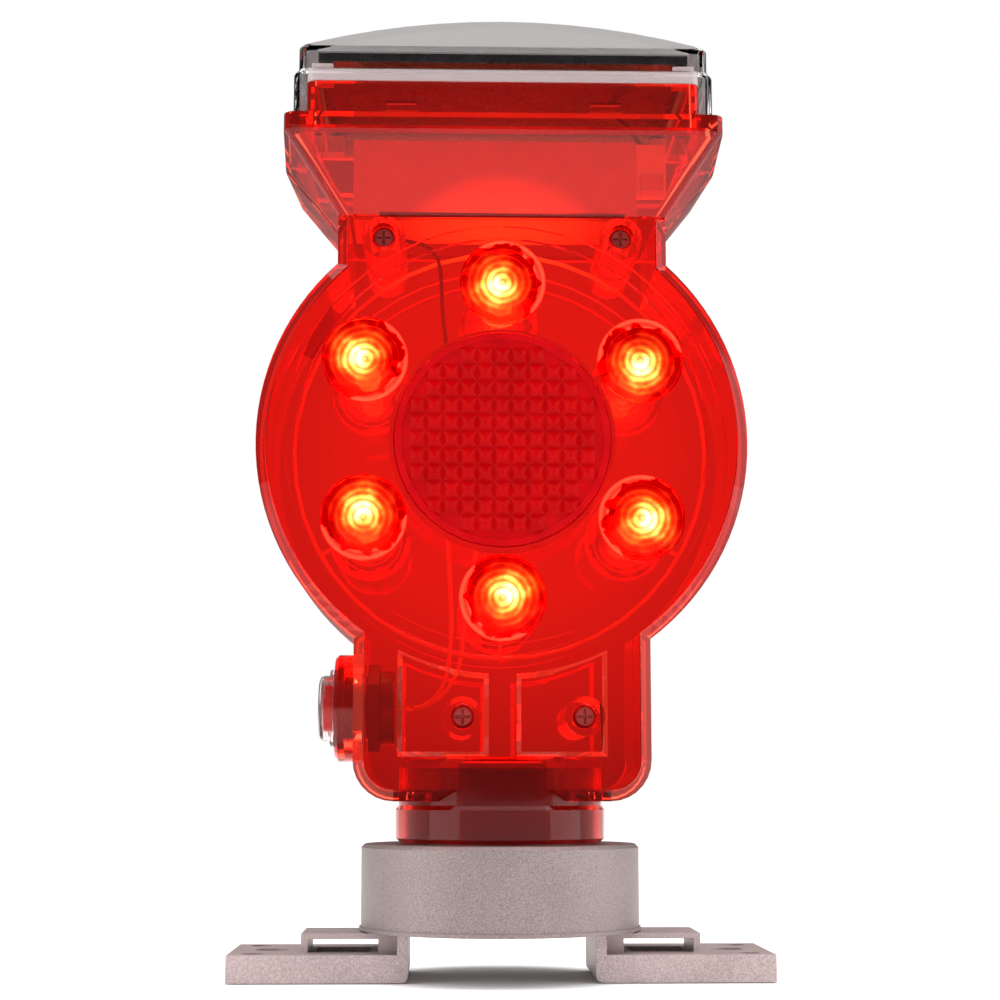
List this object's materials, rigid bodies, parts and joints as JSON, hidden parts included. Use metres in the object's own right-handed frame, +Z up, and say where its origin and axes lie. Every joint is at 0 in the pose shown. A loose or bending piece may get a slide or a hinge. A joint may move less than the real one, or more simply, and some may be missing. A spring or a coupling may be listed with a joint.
{
  "type": "solar warning lamp",
  "caption": "Red two-sided solar warning lamp with a hood, clear domed cover and side push switch, turning on the stub of a silver metal base with two bolt-down feet.",
  "frame": {"origin": "middle of the underside of the two feet, on the ground", "axes": "+Z up along the stub that the lamp turns on, -Y out of the lamp's front, -X towards the push switch"},
  "size_m": [0.126, 0.0698, 0.2239],
  "materials": {
    "red_polycarbonate": "clear red, glossy",
    "red_reflector": "clear red prisms, glossy",
    "clear_polycarbonate": "clear, glossy",
    "clear_silicone": "clear, satin",
    "frosted_frame": "frosted",
    "solar_cell": "dark, glossy",
    "black_seal": "matt",
    "lit_led": "lit, emissive",
    "circuit_board": "satin lacquer",
    "white_plastic": "satin",
    "battery_wrap": "glossy shrink wrap",
    "black_plastic": "satin",
    "red_button": "glossy",
    "brass_contact": "bright",
    "spring_steel": "drawn",
    "steel_screw": "zinc plated",
    "wire_cover": "satin",
    "red_wire_cover": "satin",
    "silver_paint": "sandy silver paint over a casting"
  },
  "bodies": {
    "base": {"base_cup": "silver_paint", "left_foot": "silver_paint", "right_foot": "silver_paint", "base_screw_1": "steel_screw", "base_screw_2": "steel_screw", "base_screw_3": "steel_screw", "base_screw_4": "steel_screw"},
    "lamp": {"front_shell": "red_polycarbonate", "rear_shell": "red_polycarbonate", "front_reflector": "red_reflector", "rear_reflector": "red_reflector", "clear_cover": "clear_polycarbonate", "button_boot": "clear_silicone", "panel_frame": "frosted_frame", "solar_panel": "solar_cell", "gasket_right": "black_seal", "gasket_left": "black_seal", "gasket_low": "black_seal", "switch_seal": "black_seal", "led_front_1": "lit_led", "led_front_2": "lit_led", "led_front_3": "lit_led", "led_front_4": "lit_led", "led_front_5": "lit_led", "led_front_6": "lit_led", "led_rear_1": "lit_led", "led_rear_2": "lit_led", "led_rear_3": "lit_led", "led_rear_4": "lit_led", "led_rear_5": "lit_led", "led_rear_6": "lit_led", "led_board_1": "circuit_board", "led_board_2": "circuit_board", "led_board_3": "circuit_board", "led_board_4": "circuit_board", "led_board_5": "circuit_board", "led_board_6": "circuit_board", "charge_board": "circuit_board", "battery_holder": "white_plastic", "board_connector": "white_plastic", "battery_cell": "battery_wrap", "switch_body": "black_plastic", "switch_nut": "black_plastic", "battery_contact": "brass_contact", "switch_terminal_1": "brass_contact", "switch_terminal_2": "brass_contact", "battery_spring": "spring_steel", "button_spring": "spring_steel", "shell_screw_1": "steel_screw", "shell_screw_2": "steel_screw", "shell_screw_3": "steel_screw", "shell_screw_4": "steel_screw", "feed_wire": "wire_cover", "panel_lead": "wire_cover", "wire_splice": "wire_cover", "led_harness": "red_wire_cover", "switch_lead": "red_wire_cover", "switch_return": "red_wire_cover"},
    "button": {"button_plunger": "red_button"}
  },
  "joints": [
    {"name": "lamp_swivel", "type": "hinge", "parent": "base", "child": "lamp", "pos_m": [0, 0, 0.04], "axis": [0, 0, 1], "continuous": true},
    {"name": "button_press", "type": "slide", "parent": "lamp", "child": "button", "axis": [1, 0, 0], "range_m": [0, 0.0012], "stiffness_N_per_m": 1500, "deforming": ["button_spring", "button_boot"]}
  ]
}
